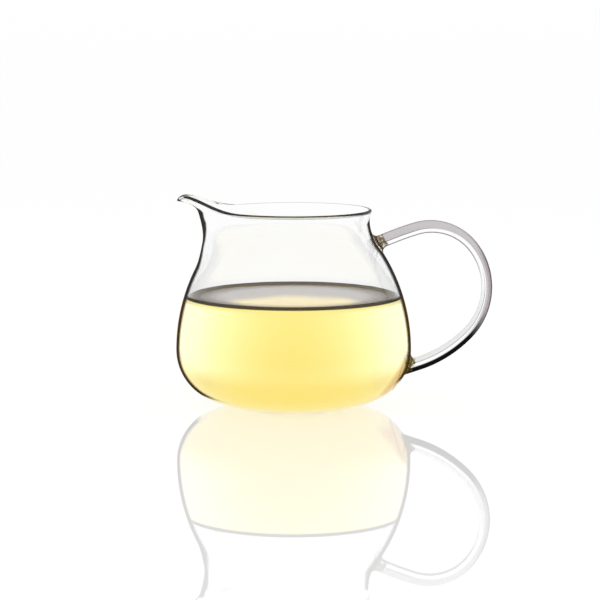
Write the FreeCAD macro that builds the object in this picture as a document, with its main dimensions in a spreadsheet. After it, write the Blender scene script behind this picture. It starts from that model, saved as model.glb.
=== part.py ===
"""Glass fairness pitcher for tea, about half full, in millimetres.

The pitcher stands on z = 0 with its axis on Z. The spout points along -X and the handle along +X.
The glass is one piece: a blown bowl, a neck whose rim is drawn out into a spout, and a bent glass rod
that is fused on as the handle. The tea inside is a piece of its own.
"""
import FreeCAD, Part
import Sketcher
import enum
import math
import os

from FreeCAD import Vector

SIZES = {
    "wall": 1.5,
    "foot_radius": 17.5,
    "belly_radius": 47.3,
    "belly_height": 22.7,
    "heel_angle": 66.3,
    "neck_radius": 30.45,
    "neck_height": 75.45,
    "neck_arc": 18.0,
    "flare_arc": 5.6,
    "flare_height": 2.8,
    "drawn_height": 20.2,
    "spout_reach": 15.4,
    "spout_rise": 6.2,
    "spout_droop": 1.85,
    "spout_half_angle": 58.0,
    "spout_pinch": 0.6,
    "tea_height": 44.2,
    "rod_radius": 2.4,
    "weld_radius": 2.2,
    "finger_room": 28.0,
    "crown_drop": 3.05,
    "foot_angle": 16.7537,
    "top_angle": 22.0,
    "top_turn": 5.0,
    "top_bend": 2.05,
    "crown_turn": 69.6,
    "crown_bend": 0.384,
    "back_turn": 82.0,
    "back_bend": 0.48,
    "low_turn": 27.6,
    "low_bend": 0.887,
}

# The spout's growth: its shares at the neck's narrowest ring, how much of a smooth rise the neck goes
# through up to there, how steeply the flare's pull starts, and the width of the droop at the tip.
NECK_PULL = 0.5
NECK_LIFT = 0.55
NECK_RISE = 0.8
FLARE_START = 0.33
DROOP_ANGLE = 9.0

# Control rings of the neck's surface, the control points in each, and the turn at which they start.
RING_POINTS = 64
RING_START = -math.pi / 2
SHOULDER_RINGS = 4
NECK_RINGS = 4
FLARE_RINGS = 4
LIP_BULGE = 0.5
DEGREE = 3

# How far apart two faces may lie and still be joined.
TOUCH = 1e-3
JOIN_TOLERANCE = 1e-4


class Axis(enum.IntEnum):
    """A sketch's own axes, as its constraints name them."""

    LEVEL = -1
    UPRIGHT = -2


class Spot(enum.IntEnum):
    """The points of a line or an arc that a sketch constraint can hold on to."""

    START = enum.auto()
    END = enum.auto()
    CENTRE = enum.auto()


SHOULDER_ARC = (
    "(((dims.belly_radius - dims.neck_radius)^2 + (dims.neck_height - dims.belly_height)^2)"
    " / (2 * (dims.belly_radius - dims.neck_radius)) - dims.neck_arc)"
)
CROWN_HEIGHT = "(dims.neck_height - dims.crown_drop)"
HEEL_COS = "cos(dims.heel_angle * 1 deg)"
HEEL_SIN = "sin(dims.heel_angle * 1 deg)"
BELLY_ARC = (
    f"((dims.belly_height * {HEEL_COS} - (dims.belly_radius - dims.foot_radius) * (1 - {HEEL_SIN}))"
    f" / ({HEEL_COS} + {HEEL_SIN} - 1))"
)
HANDLE_SPAN = f"({CROWN_HEIGHT} - dims.belly_height + {BELLY_ARC} * sin(dims.foot_angle * 1 deg))"


class Dims:
    """The cells of the sheet, read by their aliases, and the lengths that follow from them."""

    def __init__(self, sheet):
        for name in SIZES:
            setattr(self, name, float(sheet.get(name)))
        heel_cos = math.cos(math.radians(self.heel_angle))
        heel_sin = math.sin(math.radians(self.heel_angle))
        across = self.belly_radius - self.foot_radius
        spread = heel_cos + heel_sin - 1
        self.bottom_arc = (across * heel_sin - self.belly_height * (1 - heel_cos)) / spread
        self.belly_arc = (self.belly_height * heel_cos - across * (1 - heel_sin)) / spread
        inward = self.belly_radius - self.neck_radius
        up = self.neck_height - self.belly_height
        self.shoulder_arc = (inward**2 + up**2) / (2 * inward) - self.neck_arc
        self.collar_angle = math.asin(up / (self.shoulder_arc + self.neck_arc))
        self.spout_start = self.neck_height - self.drawn_height
        self.handle_reach = self.belly_radius + self.finger_room + self.rod_radius
        self.crown_height = self.neck_height - self.crown_drop
        foot_drop = self.belly_arc * math.sin(math.radians(self.foot_angle))
        self.handle_span = self.crown_height - self.belly_height + foot_drop

    def shoulder_radius(self, height, inset):
        """Radius of the shoulder at a height, on a face set in from the outer one."""
        up = height - self.belly_height
        return self.belly_radius - self.shoulder_arc + math.sqrt((self.shoulder_arc - inset) ** 2 - up**2)


def make_sheet(doc):
    sheet = doc.addObject("Spreadsheet::Sheet", "dims")
    for row, (name, value) in enumerate(SIZES.items(), start=1):
        sheet.set(f"A{row}", name)
        sheet.set(f"B{row}", str(value))
        sheet.setAlias(f"B{row}", name)
    doc.recompute()
    return sheet


def origin_item(body, role):
    return next(item for item in body.Origin.OriginFeatures if item.Role == role)


def new_sketch(body, name, plane):
    sketch = body.newObject("Sketcher::SketchObject", name)
    sketch.AttachmentSupport = [(origin_item(body, plane), "")]
    sketch.MapMode = "FlatFace"
    return sketch


def add_line(sketch, x0, y0, x1, y1):
    return sketch.addGeometry(Part.LineSegment(Vector(x0, y0, 0), Vector(x1, y1, 0)), False)


def add_arc(sketch, x, y, radius, start, end):
    circle = Part.Circle(Vector(x, y, 0), Vector(0, 0, 1), radius)
    return sketch.addGeometry(Part.ArcOfCircle(circle, start, end), False)


def join(sketch, kind, *where):
    return sketch.addConstraint(Sketcher.Constraint(kind, *where))


def bind(sketch, kind, *where, to):
    """Adds a dimension and ties it to the sheet."""
    sketch.setExpression(f"Constraints[{join(sketch, kind, *where)}]", to)


def place(sketch, kind, item, spot, value, to):
    """Sets how far a point lies from the origin, where the sketch's own axes start."""
    bind(sketch, kind, Axis.LEVEL, Spot.START, item, spot, value, to=to)


def add_bowl_outline(sketch, d, inset, inset_text, top):
    """Half outline of the bowl, set in from its outer face: flat foot, bottom arc, belly arc, shoulder arc.

    Returns the foot line and the shoulder arc, whose upper end is still free.
    """
    heel = -math.radians(d.heel_angle)
    shoulder = d.shoulder_arc
    rise = math.asin((top - d.belly_height) / (shoulder - inset))
    foot = add_line(sketch, 0, inset, d.foot_radius, inset)
    bottom = add_arc(sketch, d.foot_radius, d.bottom_arc, d.bottom_arc - inset, -math.pi / 2, heel)
    side = add_arc(sketch, d.belly_radius - d.belly_arc, d.belly_height, d.belly_arc - inset, heel, 0)
    upper = add_arc(sketch, d.belly_radius - shoulder, d.belly_height, shoulder - inset, 0, rise)
    join(sketch, "Horizontal", foot)
    join(sketch, "Tangent", foot, Spot.END, bottom, Spot.START)
    join(sketch, "Tangent", bottom, Spot.END, side, Spot.START)
    join(sketch, "Tangent", side, Spot.END, upper, Spot.START)
    join(sketch, "PointOnObject", foot, Spot.START, Axis.UPRIGHT)
    place(sketch, "DistanceY", foot, Spot.START, inset, to=inset_text)
    bind(sketch, "DistanceX", foot, Spot.START, foot, Spot.END, d.foot_radius, to="dims.foot_radius")
    widest = d.belly_radius - inset
    place(sketch, "DistanceX", side, Spot.END, widest, to=f"dims.belly_radius - {inset_text}")
    place(sketch, "DistanceY", side, Spot.END, d.belly_height, to="dims.belly_height")
    place(sketch, "DistanceY", side, Spot.CENTRE, d.belly_height, to="dims.belly_height")
    bind(sketch, "Angle", side, -heel, to="dims.heel_angle * 1 deg")
    bind(sketch, "Radius", upper, shoulder - inset, to=f"{SHOULDER_ARC} - {inset_text}")
    return foot, upper


def close_to_axis(sketch, foot, curve, curve_end, radius, level, inset):
    """Closes an outline with a level line from its upper end to the axis and a line down the axis."""
    lid = add_line(sketch, radius, level, 0, level)
    stem = add_line(sketch, 0, level, 0, inset)
    join(sketch, "Coincident", curve, curve_end, lid, Spot.START)
    join(sketch, "Horizontal", lid)
    join(sketch, "Coincident", lid, Spot.END, stem, Spot.START)
    join(sketch, "Vertical", stem)
    join(sketch, "Coincident", stem, Spot.END, foot, Spot.START)


def add_turned(body, sketch, kind, name):
    turned = body.newObject(kind, name)
    turned.Profile = sketch
    turned.ReferenceAxis = (origin_item(body, "Z_Axis"), [""])
    turned.Angle = 360
    return turned


def make_bowl(doc, d):
    """The blown bowl from its flat foot up to the level where the drawn neck starts."""
    body = doc.addObject("PartDesign::Body", "bowl")
    section = new_sketch(body, "bowl_section", "YZ_Plane")
    level = d.spout_start
    outer_foot, outer_upper = add_bowl_outline(section, d, 0.0, "0", level)
    inner_foot, inner_upper = add_bowl_outline(section, d, d.wall, "dims.wall", level)
    edge = add_line(section, d.shoulder_radius(level, 0), level, d.shoulder_radius(level, d.wall), level)
    middle = add_line(section, 0, 0, 0, d.wall)
    join(section, "Coincident", outer_upper, Spot.END, edge, Spot.START)
    join(section, "Coincident", inner_upper, Spot.END, edge, Spot.END)
    join(section, "Horizontal", edge)
    join(section, "Coincident", middle, Spot.START, outer_foot, Spot.START)
    join(section, "Coincident", middle, Spot.END, inner_foot, Spot.START)
    level_text = "dims.neck_height - dims.drawn_height"
    place(section, "DistanceY", outer_upper, Spot.END, level, to=level_text)
    add_turned(body, section, "PartDesign::Revolution", "bowl_turn")
    return body


def make_tea(doc, d):
    """The tea, which fills the bowl's inside up to its level."""
    body = doc.addObject("PartDesign::Body", "tea")
    section = new_sketch(body, "tea_section", "YZ_Plane")
    foot, upper = add_bowl_outline(section, d, d.wall, "dims.wall", d.tea_height)
    radius = d.shoulder_radius(d.tea_height, d.wall)
    close_to_axis(section, foot, upper, Spot.END, radius, d.tea_height, d.wall)
    place(section, "DistanceY", upper, Spot.END, d.tea_height, to="dims.tea_height")
    add_turned(body, section, "PartDesign::Revolution", "tea_turn")
    return body


def smooth_step(share):
    """Goes from 0 to 1 as the share does, level at both ends."""
    return share**2 * (3 - 2 * share)


def neck_stations(d, inset):
    """The neck's profile from the bowl's edge up to the rim, set in from its outer face.

    Each station holds a radius, a height, and the shares of the spout's pull and lift that it gets.
    """
    shoulder = d.shoulder_arc - inset
    neck = d.neck_arc + inset
    flare = d.flare_arc + inset
    centre = d.belly_radius - d.shoulder_arc
    start = math.asin((d.spout_start - d.belly_height) / shoulder)
    step = (d.collar_angle - start) / SHOULDER_RINGS
    flare_angle = math.asin(d.flare_height / d.flare_arc)
    places = []
    for share in [0, 1 / DEGREE, *range(1, SHOULDER_RINGS)]:
        angle = start + step * share
        radius = centre + shoulder * math.cos(angle)
        places.append((radius, d.belly_height + shoulder * math.sin(angle), 0))
    for ring in range(NECK_RINGS):
        angle = d.collar_angle * (1 - ring / NECK_RINGS)
        radius = d.neck_radius + d.neck_arc - neck * math.cos(angle)
        places.append((radius, d.neck_height - neck * math.sin(angle), 0))
    for ring in range(FLARE_RINGS + 1):
        angle = flare_angle * ring / FLARE_RINGS
        radius = d.neck_radius + d.flare_arc - flare * math.cos(angle)
        places.append((radius, d.neck_height + flare * math.sin(angle), ring / FLARE_RINGS))
    stations = []
    for radius, height, flared in places:
        climb = min(1, max(0, (height - d.spout_start) / d.drawn_height))
        fold = smooth_step(NECK_RISE * climb) / smooth_step(NECK_RISE)
        pull = NECK_PULL * fold + (1 - NECK_PULL) * flared * (FLARE_START + (1 - FLARE_START) * flared)
        lift = NECK_LIFT * fold + (1 - NECK_LIFT) * (1 - (1 - flared) ** 3)
        stations.append((radius, height, pull, lift))
    return stations


def drawn_point(d, station, turn):
    """Where a point of the round neck lies once the spout is drawn, at a turn in radians from the spout."""
    radius, height, pull, lift = station
    swing = turn / math.radians(d.spout_half_angle)
    bump = math.cos(swing * math.pi / 2) ** 2 if abs(swing) < 1 else 0
    droop = d.spout_droop * math.exp(-((math.degrees(turn) / DROOP_ANGLE) ** 2))
    x = -radius * math.cos(turn) - d.spout_reach * bump * pull
    y = radius * math.sin(turn) * (1 - d.spout_pinch * bump * pull)
    z = height + (d.spout_rise * smooth_step(bump) - droop) * lift
    return Vector(x, y, z)


def make_neck(doc, d):
    """The neck, the fire-polished rim and the drawn spout: one smooth surface that runs up the outer
    face, over the rim and down the inner one, and a flat ring that closes it on the bowl's edge."""
    steps = range(RING_POINTS)
    turns = [math.remainder(RING_START + math.tau * step / RING_POINTS, math.tau) for step in steps]
    outer = [[drawn_point(d, station, turn) for turn in turns] for station in neck_stations(d, 0)]
    inner = [[drawn_point(d, station, turn) for turn in turns] for station in neck_stations(d, d.wall)]
    outer_lip = [
        last + (last - before).normalize() * d.wall * LIP_BULGE for before, last in zip(outer[-2], outer[-1])
    ]
    inner_lip = [point + (lip - last) for point, lip, last in zip(inner[-1], outer_lip, outer[-1])]
    rings = [*outer, outer_lip, inner_lip, *reversed(inner)]
    # a cubic through evenly spaced control points runs inside them, so they stand this much further out
    spread = 3 / (2 + math.cos(math.tau / RING_POINTS))
    rings = [[Vector(p.x * spread, p.y * spread, p.z) for p in ring] for ring in rings]
    spans = len(rings) - DEGREE
    ends = [DEGREE + 1, *[1] * (spans - 1), DEGREE + 1]
    surface = Part.BSplineSurface()
    surface.buildFromPolesMultsKnots(
        rings, ends, [1] * (RING_POINTS + 1), list(range(spans + 1)), list(range(RING_POINTS + 1)),
        False, True, DEGREE, DEGREE,
    )
    skin = surface.toShape()
    edges = [edge for edge in skin.Edges if edge.isClosed() and edge.BoundBox.ZLength < d.wall / 100]
    edges.sort(key=lambda edge: edge.Length, reverse=True)
    ring = Part.Face([Part.Wire(edge) for edge in edges])
    ring.reverse()
    solid = Part.Solid(Part.Shell([skin, ring]))
    solid.fixTolerance(JOIN_TOLERANCE)
    neck = doc.addObject("Part::Feature", "neck")
    neck.Shape = solid
    neck.Placement = FreeCAD.Placement()
    return neck


def make_handle(doc, d):
    """The bent glass rod: four tangent arcs with a straight lead at each end, which runs into the glass.

    Each bend is a share of the height that the handle spans, so that it stays fused on at both ends.
    What would stand inside the bowl is cut away along the middle of the wall.
    """
    body = doc.addObject("PartDesign::Body", "handle")
    route = new_sketch(body, "handle_route", "XZ_Plane")
    names = ["top", "crown", "back", "low"]
    turns = [d.top_turn, d.crown_turn, d.back_turn, d.low_turn]
    radii = [bend * d.handle_span for bend in (d.top_bend, d.crown_bend, d.back_bend, d.low_bend)]
    top_arc, crown_arc, back_arc, low_arc = radii
    headings = [-math.radians(d.top_angle)]
    for turn in turns:
        headings.append(headings[-1] + math.radians(turn))
    towards = [Vector(math.sin(heading), math.cos(heading), 0) for heading in headings]
    back_x = d.handle_reach - back_arc
    crown_x = back_x + (back_arc - crown_arc) * towards[2].x
    crown_centre = Vector(crown_x, d.crown_height - crown_arc, 0)
    back_centre = crown_centre - towards[2] * (back_arc - crown_arc)
    centres = [
        crown_centre - towards[1] * (top_arc - crown_arc),
        crown_centre,
        back_centre,
        back_centre - towards[3] * (low_arc - back_arc),
    ]
    first = centres[0] + towards[0] * top_arc
    last = centres[3] + towards[4] * low_arc
    inside = d.neck_radius / 2
    first_rise = math.tan(headings[0])
    last_rise = math.tan(headings[4])
    lead_in = add_line(route, inside, first.y + (first.x - inside) * first_rise, first.x, first.y)
    arcs = []
    for centre, radius, before, after in zip(centres, radii, headings, headings[1:]):
        arcs.append(add_arc(route, centre.x, centre.y, radius, math.pi / 2 - after, math.pi / 2 - before))
    lead_out = add_line(route, last.x, last.y, inside, last.y + (last.x - inside) * last_rise)
    join(route, "Tangent", lead_in, Spot.END, arcs[0], Spot.END)
    for before, after in zip(arcs, arcs[1:]):
        join(route, "Tangent", before, Spot.START, after, Spot.END)
    join(route, "Tangent", arcs[-1], Spot.START, lead_out, Spot.START)
    bind(route, "Angle", lead_in, -headings[0], to="dims.top_angle * 1 deg")
    for arc, name, radius, turn in zip(arcs, names, radii, turns):
        bind(route, "Radius", arc, radius, to=f"dims.{name}_bend * {HANDLE_SPAN}")
        bind(route, "Angle", arc, math.radians(turn), to=f"dims.{name}_turn * 1 deg")
    crown_y = f"{CROWN_HEIGHT} - dims.crown_bend * {HANDLE_SPAN}"
    place(route, "DistanceY", arcs[1], Spot.CENTRE, crown_centre.y, to=crown_y)
    reach_text = "dims.belly_radius + dims.finger_room + dims.rod_radius"
    back_text = f"{reach_text} - dims.back_bend * {HANDLE_SPAN}"
    place(route, "DistanceX", arcs[2], Spot.CENTRE, back_x, to=back_text)
    place(route, "DistanceX", lead_in, Spot.START, inside, to="dims.neck_radius / 2")
    place(route, "DistanceX", lead_out, Spot.END, inside, to="dims.neck_radius / 2")

    section = body.newObject("Sketcher::SketchObject", "rod_section")
    section.AttachmentSupport = [(route, "Edge1"), (route, "Vertex1")]
    section.MapMode = "NormalToEdge"
    circle = section.addGeometry(Part.Circle(Vector(0, 0, 0), Vector(0, 0, 1), d.rod_radius), False)
    join(section, "Coincident", circle, Spot.CENTRE, Axis.LEVEL, Spot.START)
    bind(section, "Radius", circle, d.rod_radius, to="dims.rod_radius")
    rod = body.newObject("PartDesign::AdditivePipe", "rod")
    rod.Profile = section
    rod.Spine = (route, ["Edge1", "Edge2", "Edge3", "Edge4", "Edge5", "Edge6"])
    rod.Mode = "Frenet"

    core = new_sketch(body, "wall_middle", "XZ_Plane")
    middle = d.wall / 2
    collar_height = d.neck_height - (d.neck_arc + middle) * math.sin(d.collar_angle)
    foot, upper = add_bowl_outline(core, d, middle, "dims.wall / 2", collar_height)
    neck_x = d.neck_radius + d.neck_arc
    neck = add_arc(core, neck_x, d.neck_height, d.neck_arc + middle, math.pi, math.pi + d.collar_angle)
    join(core, "Tangent", upper, Spot.END, neck, Spot.END)
    bind(core, "Radius", neck, d.neck_arc + middle, to="dims.neck_arc + dims.wall / 2")
    place(core, "DistanceY", neck, Spot.CENTRE, d.neck_height, to="dims.neck_height")
    place(core, "DistanceY", neck, Spot.START, d.neck_height, to="dims.neck_height")
    close_to_axis(core, foot, neck, Spot.START, d.neck_radius - middle, d.neck_height, middle)
    add_turned(body, core, "PartDesign::Groove", "bowl_clearance")
    return body


def touches(shape, edge):
    """Whether an edge lies on a shape all along its length."""
    span = edge.LastParameter - edge.FirstParameter
    points = [edge.valueAt(edge.FirstParameter + span * share) for share in (0.2, 0.5, 0.8)]
    return all(shape.distToShape(Part.Vertex(point))[0] < TOUCH for point in points)


def make_pitcher(doc, d):
    """Bowl, neck and handle as one glass, with a flared weld round each end of the rod."""
    bowl = make_bowl(doc, d)
    neck = make_neck(doc, d)
    handle = make_handle(doc, d)
    glass = doc.addObject("Part::MultiFuse", "glass")
    glass.Shapes = [bowl, neck, handle]
    doc.recompute()
    welds = [
        number
        for number, edge in enumerate(glass.Shape.Edges, start=1)
        if touches(handle.Shape, edge) and (touches(bowl.Shape, edge) or touches(neck.Shape, edge))
    ]
    pitcher = doc.addObject("Part::Fillet", "pitcher")
    pitcher.Base = glass
    pitcher.Edges = [(number, d.weld_radius, d.weld_radius) for number in welds]
    return pitcher


def check(doc, parts):
    """Stops before anything is written if a feature failed or a sub-part isn't one good solid."""
    for item in doc.Objects:
        if "Invalid" in item.State or "Error" in item.State:
            raise RuntimeError(f"{item.Name} did not build")
    for part in parts:
        if part.Shape.isNull() or not part.Shape.isValid() or len(part.Shape.Solids) != 1:
            raise RuntimeError(f"{part.Label} is not one valid solid")
        print(part.Label, round(part.Shape.Volume, 1), part.Shape.BoundBox)


def main():
    doc = FreeCAD.newDocument("fairness_pitcher")
    sheet = make_sheet(doc)
    dims = Dims(sheet)
    parts = [make_pitcher(doc, dims), make_tea(doc, dims)]
    doc.recompute()
    check(doc, parts)
    os.makedirs("parts", exist_ok=True)
    for part in parts:
        part.Shape.exportStep(f"parts/{part.Label}.step")


main()
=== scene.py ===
"""Looks of a clear glass fairness pitcher, about half full of pale tea.

Metres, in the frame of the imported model: the spout points along -X, the handle along +X, and +Z is up.
"""

import math

import bmesh
import bpy
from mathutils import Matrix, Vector


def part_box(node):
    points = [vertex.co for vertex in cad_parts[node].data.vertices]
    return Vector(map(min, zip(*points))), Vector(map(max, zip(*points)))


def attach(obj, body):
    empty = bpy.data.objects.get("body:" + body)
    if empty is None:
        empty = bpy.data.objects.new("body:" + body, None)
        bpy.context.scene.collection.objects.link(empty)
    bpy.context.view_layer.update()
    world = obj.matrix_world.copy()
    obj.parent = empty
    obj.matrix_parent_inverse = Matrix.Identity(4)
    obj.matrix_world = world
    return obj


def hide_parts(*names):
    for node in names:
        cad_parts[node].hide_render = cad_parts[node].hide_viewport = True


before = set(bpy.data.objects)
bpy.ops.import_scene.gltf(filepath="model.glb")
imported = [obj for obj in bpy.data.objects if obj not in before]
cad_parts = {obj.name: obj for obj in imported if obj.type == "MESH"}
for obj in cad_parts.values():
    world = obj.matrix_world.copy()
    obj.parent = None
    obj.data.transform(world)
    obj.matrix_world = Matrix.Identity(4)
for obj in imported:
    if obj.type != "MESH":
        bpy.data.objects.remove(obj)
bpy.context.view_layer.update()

# Blown bowl and neck, with the drawn spout. The real piece is one bubble of clear borosilicate glass about
# 1.5 mm thick, necked in and fire-polished. While its rim is soft, a finger-wide stretch of it is pulled out
# and pinched to a channel that rises a little and droops at its tip, and the neck under it follows.
MM = 0.001
WALL = 1.5 * MM
FOOT_RADIUS = 17.5 * MM
BELLY_RADIUS = 47.3 * MM
BELLY_HEIGHT = 22.7 * MM
HEEL_ANGLE = math.radians(66.3)
NECK_RADIUS = 30.45 * MM
NECK_HEIGHT = 75.45 * MM
NECK_ARC = 18.0 * MM
FLARE_ARC = 5.6 * MM
FLARE_HEIGHT = 2.8 * MM
DRAWN_HEIGHT = 20.2 * MM
SPOUT_REACH = 15.4 * MM
SPOUT_RISE = 6.2 * MM
SPOUT_DROOP = 1.85 * MM
SPOUT_HALF_ANGLE = math.radians(58)
SPOUT_PINCH = 0.6
DROOP_ANGLE = math.radians(9)
NECK_PULL = 0.5
NECK_LIFT = 0.55
NECK_RISE = 0.8
LIFT_FADE = 3
FLARE_START = 0.33
TURNS = 240
RING_STEP = 1.1 * MM
FLARE_STEP = 0.3 * MM
LEAST_STEPS = 3
FOOT_RINGS = 8
LIP_RINGS = 10
MENISCUS = 0.9 * MM
SEAM = 0.001 * MM

heel_cos = math.cos(HEEL_ANGLE)
heel_sin = math.sin(HEEL_ANGLE)
across = BELLY_RADIUS - FOOT_RADIUS
spread = heel_cos + heel_sin - 1
inward = BELLY_RADIUS - NECK_RADIUS
upward = NECK_HEIGHT - BELLY_HEIGHT
BOTTOM_ARC = (across * heel_sin - BELLY_HEIGHT * (1 - heel_cos)) / spread
BELLY_ARC = (BELLY_HEIGHT * heel_cos - across * (1 - heel_sin)) / spread
SHOULDER_ARC = (inward**2 + upward**2) / (2 * inward) - NECK_ARC
COLLAR_ANGLE = math.asin(upward / (SHOULDER_ARC + NECK_ARC))
FLARE_ANGLE = math.asin(FLARE_HEIGHT / FLARE_ARC)
_, tea_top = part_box("tea")
TEA_LEVEL = tea_top[2]


def arc_stations(centre_r, centre_z, radius, start, end, step, flares=False):
    """Stations along an arc after its first point, as (radius, height, share of the flare)."""
    count = max(LEAST_STEPS, round(abs((end - start) * radius) / step))
    for index in range(1, count + 1):
        share = index / count
        angle = start + (end - start) * share
        yield centre_r + radius * math.cos(angle), centre_z + radius * math.sin(angle), share * flares


def bowl_stations(inset, split):
    """Stations of a face, set in from the outside, from the pole to the collar, with one at the split."""
    stations = [(FOOT_RADIUS * ring / FOOT_RINGS, inset, 0) for ring in range(FOOT_RINGS + 1)]
    shoulder = SHOULDER_ARC - inset
    turned = math.asin((split - BELLY_HEIGHT) / shoulder)
    centre = BELLY_RADIUS - SHOULDER_ARC
    heel = BOTTOM_ARC - inset
    stations += arc_stations(FOOT_RADIUS, BOTTOM_ARC, heel, -math.pi / 2, -HEEL_ANGLE, RING_STEP)
    belly = BELLY_RADIUS - BELLY_ARC
    stations += arc_stations(belly, BELLY_HEIGHT, BELLY_ARC - inset, -HEEL_ANGLE, 0, RING_STEP)
    stations += arc_stations(centre, BELLY_HEIGHT, shoulder, 0, turned, RING_STEP)
    wetted = len(stations)
    stations += arc_stations(centre, BELLY_HEIGHT, shoulder, turned, COLLAR_ANGLE, RING_STEP)
    return stations, wetted


def neck_stations(inset):
    """Stations from the collar up to the rim, the last of them along the flare."""
    neck = NECK_RADIUS + NECK_ARC
    flare = NECK_RADIUS + FLARE_ARC
    stations = list(arc_stations(neck, NECK_HEIGHT, -NECK_ARC - inset, COLLAR_ANGLE, 0, RING_STEP))
    stations += arc_stations(flare, NECK_HEIGHT, -FLARE_ARC - inset, 0, -FLARE_ANGLE, FLARE_STEP, True)
    return stations


def add_node(tree, kind, *terms, **settings):
    """A new node with its settings and, in the order of its inputs, sockets or values; None skips one."""
    made = tree.nodes.new(kind)
    for name, value in settings.items():
        setattr(made, name, value)
    for socket, term in zip(made.inputs, terms):
        if isinstance(term, bpy.types.NodeSocket):
            tree.links.new(term, socket)
        elif term is not None:
            socket.default_value = term
    return made


def new_tree(name, **sockets):
    """A Geometry Nodes tree with these inputs and one geometry output."""
    tree = bpy.data.node_groups.new(name, "GeometryNodeTree")
    for label, kind in sockets.items():
        title = label.replace("_", " ")
        tree.interface.new_socket(name=title, in_out="INPUT", socket_type="NodeSocket" + kind)
    tree.interface.new_socket(name="Made", in_out="OUTPUT", socket_type="NodeSocketGeometry")
    return tree


def end_tree(tree, geometry, material):
    """Ends a tree in Realize Instances and Set Material."""
    real = add_node(tree, "GeometryNodeRealizeInstances", geometry).outputs[0]
    finished = add_node(tree, "GeometryNodeSetMaterial", real, None, material).outputs[0]
    add_node(tree, "NodeGroupOutput", finished)


def plain_mesh(tree, source, **values):
    """The mesh that a tree makes of a source mesh, with its named inputs set by their identifiers."""
    holder = bpy.data.objects.new(tree.name, source)
    bpy.context.scene.collection.objects.link(holder)
    modifier = holder.modifiers.new(tree.name, "NODES")
    modifier.node_group = tree
    for item in tree.interface.items_tree:
        label = item.name.replace(" ", "_")
        if item.in_out == "INPUT" and label in values:
            modifier[item.identifier] = values[label]
    bpy.context.view_layer.update()
    graph = bpy.context.evaluated_depsgraph_get()
    made = bpy.data.meshes.new_from_object(holder.evaluated_get(graph))
    bpy.data.objects.remove(holder)
    return made


turning = new_tree(
    "turned and drawn glass",
    Profile="Geometry",
    Turns="Int",
    Neck_Height="Float",
    Drawn_Height="Float",
    Spout_Reach="Float",
    Spout_Rise="Float",
    Spout_Droop="Float",
    Spout_Half_Angle="Float",
    Spout_Pinch="Float",
    Material="Material",
)
given = turning.nodes.new("NodeGroupInput").outputs


def reckon(operation, *terms):
    """What a sum in the turning tree comes to."""
    return add_node(turning, "ShaderNodeMath", *terms, operation=operation).outputs[0]


rings = add_node(turning, "GeometryNodeAttributeDomainSize", given["Profile"], component="MESH").outputs[0]
columns = reckon("ADD", given["Turns"], 1)
grid = add_node(turning, "GeometryNodeMeshGrid", 1, 1, rings, columns).outputs[0]
index = add_node(turning, "GeometryNodeInputIndex").outputs[0]
station = reckon("FLOOR", reckon("DIVIDE", reckon("ADD", index, 0.5), columns))
column = reckon("SUBTRACT", index, reckon("MULTIPLY", station, columns))
turn = reckon("SUBTRACT", reckon("MULTIPLY", reckon("DIVIDE", column, given["Turns"]), math.tau), math.pi)
place = add_node(turning, "GeometryNodeInputPosition").outputs[0]
lathe = add_node(
    turning, "GeometryNodeSampleIndex", given["Profile"], place, station, data_type="FLOAT_VECTOR"
).outputs[0]
radius, _, height = add_node(turning, "ShaderNodeSeparateXYZ", lathe).outputs
named = add_node(turning, "GeometryNodeInputNamedAttribute", "flared", data_type="FLOAT").outputs[0]
flared = add_node(
    turning, "GeometryNodeSampleIndex", given["Profile"], named, station, data_type="FLOAT"
).outputs[0]

start = reckon("SUBTRACT", given["Neck Height"], given["Drawn Height"])
climb = reckon("DIVIDE", reckon("SUBTRACT", height, start), given["Drawn Height"])
climb = reckon("MULTIPLY", reckon("MINIMUM", climb, 1), NECK_RISE)
fold = add_node(turning, "ShaderNodeMapRange", climb, interpolation_type="SMOOTHSTEP").outputs[0]
fold = reckon("DIVIDE", fold, NECK_RISE**2 * (3 - 2 * NECK_RISE))
curl = reckon("MULTIPLY", flared, reckon("MULTIPLY_ADD", flared, 1 - FLARE_START, FLARE_START))
pull = reckon("MULTIPLY_ADD", curl, 1 - NECK_PULL, reckon("MULTIPLY", fold, NECK_PULL))
curled = reckon("SUBTRACT", 1, reckon("POWER", reckon("SUBTRACT", 1, flared), LIFT_FADE))
lift = reckon("MULTIPLY_ADD", curled, 1 - NECK_LIFT, reckon("MULTIPLY", fold, NECK_LIFT))
swing = reckon("MAXIMUM", reckon("MINIMUM", reckon("DIVIDE", turn, given["Spout Half Angle"]), 1), -1)
bump = reckon("POWER", reckon("COSINE", reckon("MULTIPLY", swing, math.pi / 2)), 2)
offside = reckon("POWER", reckon("DIVIDE", turn, DROOP_ANGLE), 2)
nearness = reckon("EXPONENT", reckon("MULTIPLY", offside, -1))
drawn = reckon("MULTIPLY", bump, pull)
reach = reckon("MULTIPLY", given["Spout Reach"], drawn)
outward = reckon("MULTIPLY_ADD", radius, reckon("COSINE", turn), reach)
narrowed = reckon("SUBTRACT", 1, reckon("MULTIPLY", given["Spout Pinch"], drawn))
sideways = reckon("MULTIPLY", reckon("MULTIPLY", radius, reckon("SINE", turn)), narrowed)
swell = add_node(turning, "ShaderNodeMapRange", bump, interpolation_type="SMOOTHSTEP").outputs[0]
raised = reckon("MULTIPLY", given["Spout Rise"], swell)
raised = reckon("SUBTRACT", raised, reckon("MULTIPLY", given["Spout Droop"], nearness))
upright = reckon("MULTIPLY_ADD", raised, lift, height)
ahead = reckon("MULTIPLY", outward, -1)
spot = add_node(turning, "ShaderNodeCombineXYZ", ahead, sideways, upright).outputs[0]
shaped = add_node(turning, "GeometryNodeSetPosition", grid, None, spot).outputs[0]
end_tree(turning, shaped, given["Material"])


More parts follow.
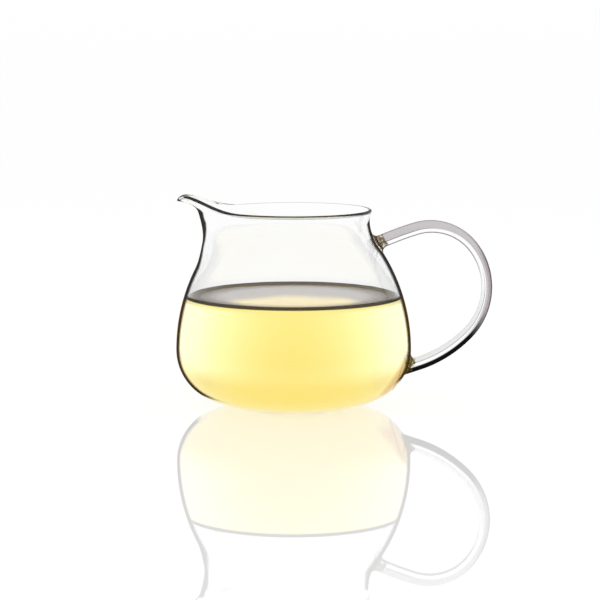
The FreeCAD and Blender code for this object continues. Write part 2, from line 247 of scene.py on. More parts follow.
def turned_mesh(name, stations, material):
    """The mesh that a profile's stations make when they are turned round the axis and the spout is drawn."""
    profile = bpy.data.meshes.new(name)
    profile.from_pydata([(radius, 0, height) for radius, height, _ in stations], [], [])
    shares = profile.attributes.new("flared", "FLOAT", "POINT")
    shares.data.foreach_set("value", [flared for _, _, flared in stations])
    return plain_mesh(
        turning,
        profile,
        Turns=TURNS,
        Neck_Height=NECK_HEIGHT,
        Drawn_Height=DRAWN_HEIGHT,
        Spout_Reach=SPOUT_REACH,
        Spout_Rise=SPOUT_RISE,
        Spout_Droop=SPOUT_DROOP,
        Spout_Half_Angle=SPOUT_HALF_ANGLE,
        Spout_Pinch=SPOUT_PINCH,
        Material=material,
    )


clear_glass = bpy.data.materials.new("clear blown glass")
outer_bowl, _ = bowl_stations(0, TEA_LEVEL + MENISCUS)
inner_bowl, wetted = bowl_stations(WALL, TEA_LEVEL + MENISCUS)
outer_face = turned_mesh("outer face", outer_bowl + neck_stations(0), clear_glass)
inner_face = turned_mesh("inner face", inner_bowl + neck_stations(WALL), clear_glass)


def drawn_rings(bm, mesh, count):
    """Adds a turned mesh to the glass and returns its rings from the pole up."""
    bm.verts.ensure_lookup_table()
    before = len(bm.verts)
    bm.from_mesh(mesh)
    bm.verts.ensure_lookup_table()
    size = TURNS + 1
    return [[bm.verts[before + ring * size + place] for place in range(size)] for ring in range(count)]


glass = bmesh.new()
rim_share, outer_share, along_share, weld_share = (
    glass.verts.layers.float.new(name) for name in ("rim", "outer", "along", "weld")
)
outer_rings = drawn_rings(glass, outer_face, len(outer_bowl) + len(neck_stations(0)))
inner_rings = drawn_rings(glass, inner_face, len(inner_bowl) + len(neck_stations(WALL)))
OUTSIDE, INSIDE, WET, ROD = range(4)
inner_points = {point for ring in inner_rings for point in ring}
wet_points = {point for ring in inner_rings[:wetted] for point in ring}
for face in glass.faces:
    points = set(face.verts)
    face.material_index = WET if points <= wet_points else INSIDE if points <= inner_points else OUTSIDE

# Fire-polished lip. Heat draws the cut edge of the real rim into a half-round bead as thick as the wall.
# It closes the outer face over to the inner one.
bead = [outer_rings[-1]]
for step in range(1, LIP_RINGS):
    sweep = math.pi * step / LIP_RINGS
    bead.append([])
    for edge, below, inside in zip(outer_rings[-1], outer_rings[-2], inner_rings[-1]):
        out = (edge.co - inside.co) / 2
        along = edge.co - below.co
        along = (along - along.project(out)).normalized() * out.length
        middle = (edge.co + inside.co) / 2
        bead[-1].append(glass.verts.new(middle + out * math.cos(sweep) + along * math.sin(sweep)))
bead.append(inner_rings[-1])
for step, ring in enumerate(bead):
    for point in ring:
        point[rim_share] = 1 - step / LIP_RINGS
for low, high in zip(bead, bead[1:]):
    for place in range(TURNS):
        glass.faces.new((low[place], low[place + 1], high[place + 1], high[place]))
bmesh.ops.remove_doubles(glass, verts=glass.verts, dist=SEAM)

# Rod handle. The real one is a solid rod of the same glass, 4.8 mm thick, bent hot into an ear and
# flame-welded to the neck and the belly, where the melted glass spreads into a small flared foot.
ROD_RADIUS = 2.4 * MM
WELD_RADIUS = 2.2 * MM
FINGER_ROOM = 28.0 * MM
CROWN_DROP = 3.05 * MM
FOOT_ANGLE = math.radians(16.7537)
HEADINGS = [math.radians(degrees) for degrees in (-22, -17, 52.6, 134.6, 162.2)]
BENDS = (2.05, 0.384, 0.48, 0.887)
ROD_SWELL = 0.1
ROD_AROUND = 64
BEND_STEP = 0.6 * MM
WELD_STEPS = 10
WELD_FULLNESS = 0.56
WELD_MARGIN = 0.9 * MM
WELD_START = 0.3
WELD_SHARE = 0.98
END_REACH = 1.5 * ROD_RADIUS
HIDDEN_REACH = 4 * WELD_RADIUS
HOLE_REACH = 6 * WELD_RADIUS
HALVINGS = 40


def heading_side(heading):
    """Direction from a bend's centre to the rod's middle, where the rod heads this far below level."""
    return Vector((math.sin(heading), 0, math.cos(heading)))


def outer_radius(height):
    """Radius of the glass's outer face between the heel and the mouth."""
    if height < BELLY_HEIGHT:
        return BELLY_RADIUS - BELLY_ARC + math.sqrt(BELLY_ARC**2 - (height - BELLY_HEIGHT) ** 2)
    if height < NECK_HEIGHT - NECK_ARC * math.sin(COLLAR_ANGLE):
        return BELLY_RADIUS - SHOULDER_ARC + math.sqrt(SHOULDER_ARC**2 - (height - BELLY_HEIGHT) ** 2)
    return NECK_RADIUS + NECK_ARC - math.sqrt(NECK_ARC**2 - (height - NECK_HEIGHT) ** 2)


def on_wall(point):
    """The point of the outer face level with this one."""
    factor = outer_radius(point.z) / math.hypot(point.x, point.y)
    return Vector((point.x * factor, point.y * factor, point.z))


def wall_outward(point):
    """Direction straight out of the glass at a point of the outer face."""
    slope = (outer_radius(point.z + SEAM) - outer_radius(point.z - SEAM)) / (2 * SEAM)
    flat = Vector((point.x, point.y, 0)).normalized()
    return (flat - Vector((0, 0, slope))).normalized()


def wall_ahead(point, direction):
    """Where a straight line from a point outside first meets the outer face."""
    near, far = 0, FINGER_ROOM
    for _ in range(HALVINGS):
        middle = (near + far) / 2
        spot = point + direction * middle
        if math.hypot(spot.x, spot.y) > outer_radius(spot.z):
            near = middle
        else:
            far = middle
    return point + direction * near


crown_height = NECK_HEIGHT - CROWN_DROP
handle_span = crown_height - BELLY_HEIGHT + BELLY_ARC * math.sin(FOOT_ANGLE)
top_bend, crown_bend, back_bend, low_bend = bends = [bend * handle_span for bend in BENDS]
back_x = BELLY_RADIUS + FINGER_ROOM + ROD_RADIUS - back_bend
sides = [heading_side(heading) for heading in HEADINGS]
crown_x = back_x + (back_bend - crown_bend) * sides[2].x
crown_centre = Vector((crown_x, 0, crown_height - crown_bend))
back_centre = crown_centre - sides[2] * (back_bend - crown_bend)
top_centre = crown_centre - sides[1] * (top_bend - crown_bend)
low_centre = back_centre - sides[3] * (low_bend - back_bend)
route = []
outward = []
for centre, bend, before, after in zip(
    (top_centre, crown_centre, back_centre, low_centre), bends, HEADINGS, HEADINGS[1:]
):
    steps = round((after - before) * bend / BEND_STEP)
    for step in range(1 if route else 0, steps + 1):
        side = heading_side(before + (after - before) * step / steps)
        route.append(centre + side * bend)
        outward.append(side)

bending = new_tree("bent glass rod", Route="Geometry", Rod_Radius="Float", Around="Int", Material="Material")
given = bending.nodes.new("NodeGroupInput").outputs
line = add_node(bending, "GeometryNodeMeshToCurve", given["Route"]).outputs[0]
circle = add_node(bending, "GeometryNodeCurvePrimitiveCircle", given["Around"]).outputs[0]
bending.links.new(given["Rod Radius"], circle.node.inputs["Radius"])
end_tree(bending, add_node(bending, "GeometryNodeCurveToMesh", line, circle).outputs[0], given["Material"])

rod_glass = bpy.data.materials.new("clear glass rod")
line = bpy.data.meshes.new("rod route")
line.from_pydata(route, [(number, number + 1) for number in range(len(route) - 1)], [])
rod = plain_mesh(bending, line, Rod_Radius=ROD_RADIUS, Around=ROD_AROUND, Material=rod_glass)
outer = rod.attributes.new("outer", "FLOAT", "POINT")
along = rod.attributes.new("along", "FLOAT", "POINT")
for number, point in enumerate(rod.vertices):
    ring = number // ROD_AROUND
    spoke = point.co - route[ring]
    along.data[number].value = ring / (len(route) - 1)
    outer.data[number].value = spoke.normalized().dot(outward[ring])
    point.co = route[ring] + spoke * (1 + ROD_SWELL * math.cos(math.tau * ring / (len(route) - 1)))
before = len(glass.faces)
glass.from_mesh(rod)
glass.faces.ensure_lookup_table()
for face in glass.faces[before:]:
    face.material_index = ROD

for end, inner in ((route[0], route[1]), (route[-1], route[-2])):
    lead = (end - inner).normalized()
    ring = [
        edge for edge in glass.edges
        if edge.is_boundary and all((point.co - end).length < END_REACH for point in edge.verts)
    ]
    foot = wall_ahead(end, lead)
    chains = {}
    for point in dict.fromkeys(point for edge in ring for point in edge.verts):
        corner = wall_ahead(point.co, lead)
        along = corner - foot
        normal = wall_outward(corner)
        along = (along - along.project(normal)).normalized()
        opening = (-lead).angle(along)
        tangent = WELD_RADIUS / math.tan(opening / 2)
        top = corner - lead * min(tangent, (corner - point.co).length * WELD_SHARE)
        low = on_wall(corner + along * tangent)
        chain = [point]
        for step in range(WELD_STEPS + 1):
            share = step / WELD_STEPS
            high_pull = top + (corner - top) * WELD_FULLNESS
            low_pull = low + (corner - low) * WELD_FULLNESS
            rest = 1 - share
            spot = (
                top * rest**3
                + high_pull * (3 * rest**2 * share)
                + low_pull * (3 * rest * share**2)
                + low * share**3
            )
            chain.append(glass.verts.new(spot))
            chain[-1][outer_share] = point[outer_share]
            chain[-1][along_share] = point[along_share]
            chain[-1][weld_share] = WELD_START + (1 - WELD_START) * share
        chains[point] = chain
    toes = [chain[-1].co.copy() for chain in chains.values()]
    for edge in ring:
        first, second = (chains[point] for point in edge.verts)
        for level in range(WELD_STEPS + 1):
            face = glass.faces.new((first[level], first[level + 1], second[level + 1], second[level]))
            face.material_index = ROD

    def under_weld(face):
        """Whether a face of the bowl is covered by the weld."""
        spot = face.calc_center_median()
        toe = min(toes, key=lambda other: (other - spot).length_squared)
        return (spot - foot).length < (toe - foot).length + WELD_MARGIN

    hidden = [
        face for face in glass.faces
        if face.material_index == OUTSIDE
        and (face.calc_center_median() - foot).length < HIDDEN_REACH
        and under_weld(face)
    ]
    bmesh.ops.delete(glass, geom=hidden, context="FACES")
    loops = [
        edge for edge in glass.edges
        if edge.is_boundary and (edge.verts[0].co - foot).length < HOLE_REACH
    ]
    for face in bmesh.ops.bridge_loops(glass, edges=loops)["faces"]:
        face.material_index = OUTSIDE

bmesh.ops.recalc_face_normals(glass, faces=glass.faces)
for face in glass.faces:
    face.smooth = True
inside_glass = bpy.data.materials.new("clear glass inside")
wet_glass = bpy.data.materials.new("wetted glass inside")
pitcher_mesh = bpy.data.meshes.new("glass_pitcher")
glass.to_mesh(pitcher_mesh)
glass.free()
for finish in (clear_glass, inside_glass, wet_glass, rod_glass):
    pitcher_mesh.materials.append(finish)
pitcher = bpy.data.objects.new("glass_pitcher", pitcher_mesh)
bpy.context.scene.collection.objects.link(pitcher)
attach(pitcher, "root")
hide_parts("pitcher")


def new_finish(material):
    """Empties a material's nodes and returns its tree and its output node."""
    material.use_nodes = True
    tree = material.node_tree
    tree.nodes.clear()
    return tree, tree.nodes.new("ShaderNodeOutputMaterial")


def combine(tree, operation, *terms):
    """What a sum in a material comes to."""
    return add_node(tree, "ShaderNodeMath", *terms, operation=operation).outputs[0]


def product(tree, total, *terms):
    """All these values multiplied."""
    for term in terms:
        total = combine(tree, "MULTIPLY", total, term)
    return total


def most(tree, total, *terms):
    """The greatest of these values."""
    for term in terms:
        total = combine(tree, "MAXIMUM", total, term)
    return total


def rest_of(tree, share):
    """What a share leaves of the whole."""
    return combine(tree, "SUBTRACT", 1, share)


def read(tree, name):
    """A value stored on the mesh."""
    return add_node(tree, "ShaderNodeAttribute", attribute_name=name).outputs["Fac"]


def seen_first(tree, share):
    """Keeps a share only where the surface is met from outside."""
    behind = tree.nodes.new("ShaderNodeNewGeometry").outputs["Backfacing"]
    return product(tree, share, rest_of(tree, behind))


def lit_rays(tree, *kinds):
    """1 for any of these kinds of ray, else 0."""
    rays = tree.nodes.new("ShaderNodeLightPath").outputs
    return most(tree, *(rays[kind] for kind in kinds))


def object_place(tree):
    """The place on the object along X, Y and Z."""
    spots = tree.nodes.new("ShaderNodeTexCoord").outputs["Object"]
    return add_node(tree, "ShaderNodeSeparateXYZ", spots).outputs


def glancing(tree):
    """0 where a clear surface is met straight on, up to 1 where it is met edge on."""
    return add_node(tree, "ShaderNodeLayerWeight", 0.5).outputs["Facing"]


def mixed_colour(tree, share, first, second):
    """A colour that goes from the first to the second."""
    mixing = add_node(tree, "ShaderNodeMix", share, data_type="RGBA")
    mixing.inputs["A"].default_value = first
    mixing.inputs["B"].default_value = second
    return mixing.outputs["Result"]


def glass_body(tree, glass_index):
    """Clear glass with the faint ripples that blowing leaves in it."""
    body = tree.nodes.new("ShaderNodeBsdfPrincipled")
    body.inputs["Base Color"].default_value = GLASS_COLOUR
    body.inputs["Roughness"].default_value = 0
    body.inputs["IOR"].default_value = glass_index
    body.inputs["Transmission Weight"].default_value = 1
    body.inputs["Specular IOR Level"].default_value = GLASS_SHINE
    spots = tree.nodes.new("ShaderNodeTexCoord").outputs["Object"]
    waves = add_node(tree, "ShaderNodeTexNoise", spots, None, RIPPLE_SCALE, 1)
    ripple = tree.nodes.new("ShaderNodeBump")
    ripple.inputs["Strength"].default_value = RIPPLE_STRENGTH
    ripple.inputs["Distance"].default_value = RIPPLE_DEPTH
    tree.links.new(waves.outputs["Fac"], ripple.inputs["Height"])
    tree.links.new(ripple.outputs["Normal"], body.inputs["Normal"])
    return body.outputs[0]


def ramp(tree, value, low, high):
    """Goes smoothly from 0 to 1 as the value goes from low to high."""
    return add_node(tree, "ShaderNodeMapRange", value, low, high, interpolation_type="SMOOTHSTEP").outputs[0]


def upturned(tree):
    """How far the surface faces up, from -1 to 1."""
    normal = tree.nodes.new("ShaderNodeNewGeometry").outputs["Normal"]
    turned = add_node(tree, "ShaderNodeVectorMath", normal, (0, 0, 1), operation="DOT_PRODUCT")
    return turned.outputs["Value"]


def painted_shade(tree, seen, share, colour):
    """Covers a clear surface with a share of this dark colour, as painted shade."""
    shade = add_node(tree, "ShaderNodeBsdfDiffuse", colour).outputs[0]
    return add_node(tree, "ShaderNodeMixShader", share, seen, shade).outputs[0]


def end_glass(tree, output, seen):
    """Lets plain light through the glass, so that its shadow stays pale, and ends the material."""
    through = add_node(tree, "ShaderNodeBsdfTransparent", SHADOW_COLOUR).outputs[0]
    passing = lit_rays(tree, "Is Shadow Ray", "Is Diffuse Ray")
    mixed = add_node(tree, "ShaderNodeMixShader", passing, seen, through).outputs[0]
    tree.links.new(mixed, output.inputs["Surface"])


# Look of the glass. It is clear, with faint ripples from the blowing. Its wall gets painted shade where it
# is seen edge on, at the lip and at the tea line: grey where it is empty, brown beside the tea. A painted
# white glow makes the tea behind it paler towards the sides, and a painted amber tint with a painted dark
# streak sits by the lower weld.
GLASS_COLOUR = (0.99, 0.995, 0.993, 1)
GLASS_INDEX = 1.47
GLASS_SHINE = 0.15
TEA_INDEX = 1.333
RIPPLE_SCALE = 45
RIPPLE_STRENGTH = 0.25
RIPPLE_DEPTH = 0.4 * MM
SHADOW_COLOUR = (0.96, 0.965, 0.96, 1)
WHITE = (1, 1, 1, 1)
EDGE_SHADE_COLOUR = (0.034, 0.028, 0.026, 1)
TEA_EDGE_SHADE_COLOUR = (0.06, 0.033, 0.004, 1)
EDGE_COLOUR_CHANGE = (TEA_LEVEL - MENISCUS, TEA_LEVEL + MENISCUS)
EDGE_WIDTH = (0.735, 0.83)
EDGE_GROWTH = 0.7
EDGE_UNDERSIDE = (-0.87, -0.76)
SPOUT_LINE_AHEAD = (-28 * MM, -38 * MM)
SPOUT_LINE_TOP = (83.5 * MM, 78 * MM)
SPOUT_LINE_BOTTOM = (64 * MM, 75 * MM)
SPOUT_LINE_WIDTH = 0.26
FLARE_LINE_UP = (74 * MM, 77 * MM)
FLARE_LINE_THINNING = 0.3
UNLINED_AHEAD = (20 * MM, 30 * MM)
UNLINED_UP = (13 * MM, 10 * MM)
RIM_LINE_OUTSIDE = (0.8, 0.65)
RIM_LINE_INSIDE = (0.3, 0.45)
RIM_LINE_SHARE = 0.6
RIM_INNER_EDGE = (0, 0.2)
RIM_INNER_SHARE = 0.25
SHORE_LINE_BOTTOM = (TEA_LEVEL, TEA_LEVEL + 0.3 * MENISCUS)
SHORE_LINE_TOP = (TEA_LEVEL + 1.35 * MENISCUS, TEA_LEVEL + MENISCUS)
SHORE_LINE_GLANCING = (0.25, 0.6)
SHORE_LINE_SHARE = 0.85
PAINTED_AMBER_COLOUR = (0.6, 0.31, 0.012, 1)
AMBER_SLANT = 0.73
AMBER_AHEAD = (27.2 * MM, 30.2 * MM)
AMBER_GLANCING = (0.4, 0.6)
AMBER_UNDERSIDE = (-0.9, -0.7)
STREAK_SLANT = 0.35
STREAK_NEAR = (36.4 * MM, 36.9 * MM)
STREAK_FAR = (37.4 * MM, 36.9 * MM)
STREAK_UP = (20 * MM, 14 * MM)
STREAK_SHARE = 0.5
PAINTED_GLOW = 0.76
PAINTED_GLOW_LIMIT = 0.42
PAINTED_GLOW_UP = (TEA_LEVEL - 0.5 * MENISCUS, TEA_LEVEL - 2 * MENISCUS)
PAINTED_GLOW_UNDERSIDE = (-0.5, 0)
PAINTED_LOW_TINT_COLOUR = (1, 0.82, 0.38, 1)
PAINTED_LOW_TINT_UP = (0, 26 * MM)

tree, output = new_finish(clear_glass)
facing = glancing(tree)
forward, _, height = object_place(tree)
near_spout = product(
    tree,
    ramp(tree, forward, *SPOUT_LINE_AHEAD),
    ramp(tree, height, *SPOUT_LINE_TOP),
    ramp(tree, height, *SPOUT_LINE_BOTTOM),
)
thin = product(tree, ramp(tree, height, *FLARE_LINE_UP), rest_of(tree, near_spout))
width = combine(tree, "MULTIPLY_ADD", height, EDGE_GROWTH, facing)
width = combine(tree, "MULTIPLY_ADD", near_spout, SPOUT_LINE_WIDTH, width)
width = combine(tree, "MULTIPLY_ADD", thin, -FLARE_LINE_THINNING, width)
unlined = product(tree, ramp(tree, forward, *UNLINED_AHEAD), ramp(tree, height, *UNLINED_UP))
# Painted shade: dark lines where the wall is seen edge on, wider by the spout and thinner on the flare, with
# none where the glass faces down or low on the handle side.
edge_shade_line = product(
    tree,
    ramp(tree, width, *EDGE_WIDTH),
    ramp(tree, upturned(tree), *EDGE_UNDERSIDE),
    rest_of(tree, unlined),
)
rim = read(tree, "rim")
# Painted shade: a dark band along the lip bead, with a fainter grey over most of the bead.
rim_shade_line = product(
    tree, ramp(tree, rim, *RIM_LINE_INSIDE), ramp(tree, rim, *RIM_LINE_OUTSIDE), RIM_LINE_SHARE
)
rim_inner_shade = product(tree, ramp(tree, rim, *RIM_INNER_EDGE), RIM_INNER_SHARE)
rim_shade_line = combine(tree, "ADD", rim_shade_line, rim_inner_shade)
# Painted shade: a dark line on the wall along the tea's wetted rise, where it is seen at a slant.
shore_shade_line = product(
    tree,
    ramp(tree, height, *SHORE_LINE_BOTTOM),
    ramp(tree, height, *SHORE_LINE_TOP),
    ramp(tree, facing, *SHORE_LINE_GLANCING),
    SHORE_LINE_SHARE,
)
# Painted amber tint on the glass low on the handle side, by the lower weld, where it is seen at a slant.
painted_amber = product(
    tree,
    ramp(tree, combine(tree, "MULTIPLY_ADD", height, -AMBER_SLANT, forward), *AMBER_AHEAD),
    ramp(tree, facing, *AMBER_GLANCING),
    ramp(tree, upturned(tree), *AMBER_UNDERSIDE),
)
# Painted shade: a dark slanting streak inside the painted amber.
slanted = combine(tree, "MULTIPLY_ADD", height, -STREAK_SLANT, forward)
shade_streak = product(
    tree,
    ramp(tree, slanted, *STREAK_NEAR),
    ramp(tree, slanted, *STREAK_FAR),
    painted_amber,
    ramp(tree, height, *STREAK_UP),
    STREAK_SHARE,
)
# All the painted shade on the wall. It is brown beside the tea and grey above it.
dark_shade = most(tree, edge_shade_line, rim_shade_line, shore_shade_line, shade_streak)
# Painted light: a white glow on the outer face below the tea line, stronger where the face is seen at a
# slant, making the tea paler towards the sides. It is left off under the painted amber and where the glass
# faces down.
painted_sheen = product(
    tree,
    combine(tree, "MINIMUM", facing, PAINTED_GLOW_LIMIT),
    ramp(tree, height, *PAINTED_GLOW_UP),
    ramp(tree, upturned(tree), *PAINTED_GLOW_UNDERSIDE),
    rest_of(tree, painted_amber),
    PAINTED_GLOW,
)
painted_light = add_node(tree, "ShaderNodeEmission", WHITE, seen_first(tree, painted_sheen)).outputs[0]
clear = glass_body(tree, GLASS_INDEX)
painted_tint = mixed_colour(tree, seen_first(tree, painted_amber), GLASS_COLOUR, PAINTED_AMBER_COLOUR)
tree.links.new(painted_tint, clear.node.inputs["Base Color"])
body = add_node(tree, "ShaderNodeAddShader", clear, painted_light).outputs[0]
shade_line_colour = mixed_colour(tree, ramp(tree, height, *EDGE_COLOUR_CHANGE), TEA_EDGE_SHADE_COLOUR, EDGE_SHADE_COLOUR)
end_glass(tree, output, painted_shade(tree, body, seen_first(tree, dark_shade), shade_line_colour))

tree, output = new_finish(inside_glass)
end_glass(tree, output, glass_body(tree, GLASS_INDEX))

tree, output = new_finish(wet_glass)
body = glass_body(tree, GLASS_INDEX / TEA_INDEX)
height = object_place(tree)["Z"]
# Painted tint: the wetted face makes the tea behind it a deeper amber towards the bottom, fading out by 26
# mm up.
painted_tint = mixed_colour(tree, ramp(tree, height, *PAINTED_LOW_TINT_UP), PAINTED_LOW_TINT_COLOUR, WHITE)
tree.links.new(painted_tint, body.node.inputs["Base Color"])
end_glass(tree, output, body)

# Look of the rod. Long grey and dark streaks of painted shade run along it, and its melted ends carry a
# mottled painted shade. Both stand in for the darker surroundings that the solid rod and its welds refract.
# A streak says where it starts and ends across the rod, from -1 inside the bend to 1 outside, then along it,
# from 0 at the neck to 1 at the belly, and how strong it is.
ROD_EDGE_SHADE_COLOUR = (0.006, 0.006, 0.007, 1)
ROD_EDGE_GLANCING = (0.6, 0.9)
ROD_EDGE_SHARE = 0.85
ROD_GREY_SHADE_COLOUR = (0.075, 0.004, 0.048, 1)
FROM_INNER_SIDE = (-1.1, -1.05)
FROM_NECK = (-0.2, -0.1)
TO_BELLY = (1.1, 1.05)
GREY_SHADE_STREAKS = {
    "upper": ((-0.2, -0.1), None, FROM_NECK, (0.85, 0.6), 0.45),
    "back": ((0.1, 0.3), None, (0.2, 0.45), (0.95, 0.7), 0.62),
}
DARK_SHADE_STREAKS = {
    "outer edge of the back": ((0.6, 0.85), None, (0.2, 0.5), TO_BELLY, 0.8),
    "outer edge of the top": ((0.82, 0.97), None, FROM_NECK, (0.5, 0.3), 0.35),
    "broad outer streak, low": ((0.05, 0.25), None, (0.6, 0.76), TO_BELLY, 1.0),
    "short middle line, high": ((-0.3, -0.2), (-0.1, -0.18), FROM_NECK, (0.35, 0.05), 0.85),
    "middle line, low": ((-0.5, -0.42), (-0.3, -0.38), (0.4, 0.6), TO_BELLY, 0.6),
    "inner edge of the top": (FROM_INNER_SIDE, (-0.72, -0.86), FROM_NECK, (0.6, 0.3), 0.8),
    "inner side, low": (FROM_INNER_SIDE, (-0.38, -0.5), (0.5, 0.65), TO_BELLY, 0.18),
}
KNOT_SHADE_COLOUR = (0.1, 0.07, 0.02, 1)
KNOT_MOTTLE_SCALE = 700
KNOT_SPOTS = (0.35, 0.6)
KNOT_SHARE = 0.9
MELTED = (0.17, 0.21)

tree, output = new_finish(rod_glass)
outer = read(tree, "outer")
along = read(tree, "along")


def shade_streak_share(low, high, start, end, share):
    """How much of a streak of painted shade shows."""
    shares = [ramp(tree, outer, *low), ramp(tree, along, *start), ramp(tree, along, *end), share]
    if high:
        shares.append(ramp(tree, outer, *high))
    return product(tree, *shares)


# Painted shade: grey and dark streaks along the rod, and dark edges where it is seen edge on.
grey_shade = most(tree, *(shade_streak_share(*shade_streak) for shade_streak in GREY_SHADE_STREAKS.values()))
dark_shade = most(
    tree,
    product(tree, ramp(tree, glancing(tree), *ROD_EDGE_GLANCING), ROD_EDGE_SHARE),
    *(shade_streak_share(*shade_streak) for shade_streak in DARK_SHADE_STREAKS.values()),
)
seen = painted_shade(tree, glass_body(tree, GLASS_INDEX), seen_first(tree, grey_shade), ROD_GREY_SHADE_COLOUR)
seen = painted_shade(tree, seen, seen_first(tree, dark_shade), ROD_EDGE_SHADE_COLOUR)
# Painted shade: dark brown mottling on the melted ends of the rod.
spots = tree.nodes.new("ShaderNodeTexCoord").outputs["Object"]
shade_mottle = add_node(tree, "ShaderNodeTexNoise", spots, None, KNOT_MOTTLE_SCALE, 1).outputs["Fac"]
melted = ramp(tree, read(tree, "weld"), *MELTED)
knot_shade = product(tree, melted, ramp(tree, shade_mottle, *KNOT_SPOTS), KNOT_SHARE)
end_glass(tree, output, painted_shade(tree, seen, seen_first(tree, knot_shade), KNOT_SHADE_COLOUR))

# Pale tea. It fills the real pitcher to about half its height, level but for the small rise where it wets
# the glass. It is a clear liquid that is deeper in colour the further the light passes through it.
TEA_GAP = 0.03 * MM
MENISCUS_REACH = 1.3 * MM
MENISCUS_STEPS = (0.12, 0.3, 0.55, 0.9, 1.3, 1.8, 2.4, 3.2, 4.2, 5.6, 7.5)
SURFACE_RINGS = 10
TEA_COLOUR = (1.0, 0.918, 0.215, 1)
TEA_DENSITY = 20
TOP_COLOUR = (0.82, 0.72, 0.68, 1)
TOP_SHINE = (0.04, 0.04, 0.03, 1)
# Painted reflection and painted shade on the tea's surface: a grey mirror over its back half, darker towards
# its rim, and a dark line where it rises against the glass.
SHEEN_COLOUR = (0.55, 0.53, 0.53, 1)
SHEEN_GLANCING = (0.8738, 0.8765)
SURFACE_GLANCING = (0.4, 0.8)
DIM_COLOUR = (0.1, 0.065, 0.04, 1)
DIM_REACH = (0.62, 0.97)
DIM_SHARE = 0.88
SHORE_SHADE_COLOUR = (0.04, 0.024, 0.004, 1)
SHORE_REACH = (0.86, 0.95)
SHORE_DEPTH = 0.6 * MM
SHORE_UP = (0.05 * MM, 0.3 * MM)

pale_tea = bpy.data.materials.new("pale tea")
side, count = bowl_stations(WALL + TEA_GAP, TEA_LEVEL + MENISCUS)
side = side[:count]
shore = side[-1][0]
surface = [
    (shore - step * MM, TEA_LEVEL + MENISCUS * math.exp(-step * MM / MENISCUS_REACH), 0)
    for step in MENISCUS_STEPS
]
inside = surface[-1][0]
surface += [(inside * (1 - ring / SURFACE_RINGS), TEA_LEVEL, 0) for ring in range(1, SURFACE_RINGS + 1)]
tea_mesh = turned_mesh("pale_tea", side + surface, pale_tea)
liquid = bmesh.new()
liquid.from_mesh(tea_mesh)
bmesh.ops.remove_doubles(liquid, verts=liquid.verts, dist=SEAM)
bmesh.ops.recalc_face_normals(liquid, faces=liquid.faces)
on_top = liquid.faces.layers.float.new("surface")
for face in liquid.faces:
    face.smooth = True
    middle = face.calc_center_median()
    radius = math.hypot(middle.x, middle.y)
    face[on_top] = float(middle.z > TEA_LEVEL - SEAM and radius < shore)
liquid.to_mesh(tea_mesh)
liquid.free()
tea_mesh.materials.clear()
tea_mesh.materials.append(pale_tea)
tea = bpy.data.objects.new("pale_tea", tea_mesh)
bpy.context.scene.collection.objects.link(tea)
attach(tea, "root")
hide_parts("tea")

tree, output = new_finish(pale_tea)
top = add_node(tree, "ShaderNodeBsdfPrincipled")
top.inputs["Base Color"].default_value = TOP_COLOUR
top.inputs["Roughness"].default_value = 0
top.inputs["IOR"].default_value = TEA_INDEX
top.inputs["Transmission Weight"].default_value = 1
facing = glancing(tree)
# Partly painted reflection: a real gloss, but darkened to grey and shown only over the back half of the
# surface.
painted_sheen = add_node(tree, "ShaderNodeBsdfGlossy", SHEEN_COLOUR, 0.0).outputs[0]
painted_mirror = seen_first(tree, ramp(tree, facing, *SHEEN_GLANCING))
level = add_node(tree, "ShaderNodeMixShader", painted_mirror, top.outputs[0], painted_sheen).outputs[0]
through = add_node(tree, "ShaderNodeBsdfTransparent", WHITE).outputs[0]
share = read(tree, "surface")
seen = add_node(tree, "ShaderNodeMixShader", share, through, level).outputs[0]
east, north, height = object_place(tree)
radius = combine(tree, "MULTIPLY_ADD", east, east, product(tree, north, north))
radius = combine(tree, "POWER", radius, 0.5)
# Painted shade: the surface darkens towards its rim where it is seen at a slant, and gets a dark line where
# it rises against the glass.
edge_on = product(tree, ramp(tree, facing, *SURFACE_GLANCING), share)
dim = product(tree, ramp(tree, radius, *(shore * part for part in DIM_REACH)), edge_on, DIM_SHARE)
seen = painted_shade(tree, seen, seen_first(tree, dim), DIM_COLOUR)
brink = product(tree, ramp(tree, radius, *(shore * part for part in SHORE_REACH)), edge_on)
seen = painted_shade(tree, seen, seen_first(tree, brink), SHORE_SHADE_COLOUR)
raised = combine(tree, "MULTIPLY_ADD", share, -SHORE_DEPTH, height)
shore_shade = ramp(tree, raised, *(TEA_LEVEL + up - SHORE_DEPTH for up in SHORE_UP))
seen = painted_shade(tree, seen, seen_first(tree, shore_shade), SHORE_SHADE_COLOUR)
shine = add_node(tree, "ShaderNodeBsdfGlossy", TOP_SHINE, 0.0).outputs[0]
shining = add_node(tree, "ShaderNodeAddShader", seen, shine).outputs[0]
seen = add_node(tree, "ShaderNodeMixShader", seen_first(tree, share), seen, shining).outputs[0]
passing = lit_rays(tree, "Is Shadow Ray", "Is Diffuse Ray")
finish = add_node(tree, "ShaderNodeMixShader", passing, seen, through).outputs[0]
tree.links.new(finish, output.inputs["Surface"])
depth = add_node(tree, "ShaderNodeVolumeAbsorption", TEA_COLOUR, TEA_DENSITY).outputs[0]
tree.links.new(depth, output.inputs["Volume"])

# Photo table and light. The pitcher stands on a glossy white table in front of nothing, in the plain soft
# light of a white studio.
TABLE_HALF = 20.0
TABLE_DROP = 0.05 * MM
TABLE_INDEX = 1.6
TABLE_COLOUR = (0.95, 0.95, 0.95, 1)
TABLE_GLOW = 0.7
STUDIO_LIGHT = 0.87
LAMPS = {
    "soft lamp left": ((-0.9, -0.5, 1.1), 6.0, 0.8),
    "soft lamp right": ((0.9, -0.6, 0.9), 4.0, 0.8),
}

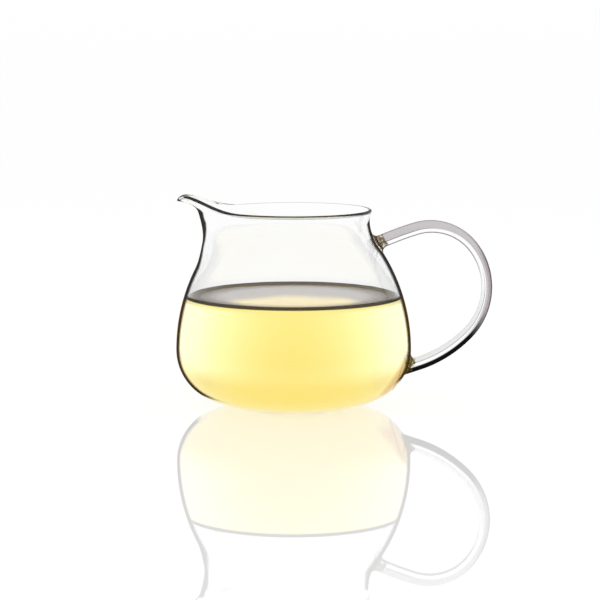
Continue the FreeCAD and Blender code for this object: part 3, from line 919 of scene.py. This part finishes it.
table_mesh = bpy.data.meshes.new("table")
corners = [(x * TABLE_HALF, y * TABLE_HALF, -TABLE_DROP) for x, y in ((-1, -1), (1, -1), (1, 1), (-1, 1))]
table_mesh.from_pydata(corners, [], [(0, 1, 2, 3)])
white_table = bpy.data.materials.new("glossy white table")
table_mesh.materials.append(white_table)
table = bpy.data.objects.new("table", table_mesh)
bpy.context.scene.collection.objects.link(table)
tree, output = new_finish(white_table)
matt = add_node(tree, "ShaderNodeBsdfDiffuse", TABLE_COLOUR).outputs[0]
glow = add_node(tree, "ShaderNodeEmission", WHITE, 1.0).outputs[0]
seen = lit_rays(tree, "Is Camera Ray", "Is Glossy Ray", "Is Transmission Ray")
plain = add_node(tree, "ShaderNodeMixShader", product(tree, seen, TABLE_GLOW), matt, glow).outputs[0]
polish = add_node(tree, "ShaderNodeBsdfGlossy", WHITE, 0.0).outputs[0]
mirror = add_node(tree, "ShaderNodeFresnel", TABLE_INDEX).outputs[0]
finish = add_node(tree, "ShaderNodeMixShader", mirror, plain, polish).outputs[0]
tree.links.new(finish, output.inputs["Surface"])

world = bpy.data.worlds.new("white studio")
bpy.context.scene.world = world
world.use_nodes = True
tree = world.node_tree
tree.nodes.clear()
seen = lit_rays(tree, "Is Camera Ray", "Is Glossy Ray", "Is Transmission Ray")
dome = add_node(tree, "ShaderNodeBackground", WHITE, STUDIO_LIGHT).outputs[0]
white = add_node(tree, "ShaderNodeBackground", WHITE, 1.0).outputs[0]
shade = add_node(tree, "ShaderNodeMixShader", seen, dome, white).outputs[0]
tree.links.new(shade, tree.nodes.new("ShaderNodeOutputWorld").inputs["Surface"])

for name, (spot, power, size) in LAMPS.items():
    lamp = bpy.data.lights.new(name, "AREA")
    lamp.energy = power
    lamp.size = size
    lamp_object = bpy.data.objects.new(name, lamp)
    lamp_object.location = spot
    lamp_object.visible_glossy = False
    lamp_object.visible_transmission = False
    lamp_object.rotation_euler = Vector(spot).to_track_quat("Z", "Y").to_euler()
    bpy.context.scene.collection.objects.link(lamp_object)

# Camera. It looks along +Y from about a metre away, a little above the table.
CAMERA_AWAY = 1.043
CAMERA_ELEVATION = math.radians(9.663)
CAMERA_PITCH = math.radians(7.34)
CAMERA_ASIDE = 2.55 * MM
LENS = 154.5
SENSOR = 36
CLIPPING = (0.01, 100)
lens = bpy.data.cameras.new("camera")
lens.lens = LENS
lens.sensor_width = SENSOR
lens.clip_start, lens.clip_end = CLIPPING
camera = bpy.data.objects.new("camera", lens)
camera.location = (
    CAMERA_ASIDE,
    -CAMERA_AWAY * math.cos(CAMERA_ELEVATION),
    CAMERA_AWAY * math.sin(CAMERA_ELEVATION),
)
camera.rotation_euler = (math.pi / 2 - CAMERA_PITCH, 0, 0)
bpy.context.scene.collection.objects.link(camera)
bpy.context.scene.camera = camera
bpy.context.scene.view_settings.view_transform = "Standard"
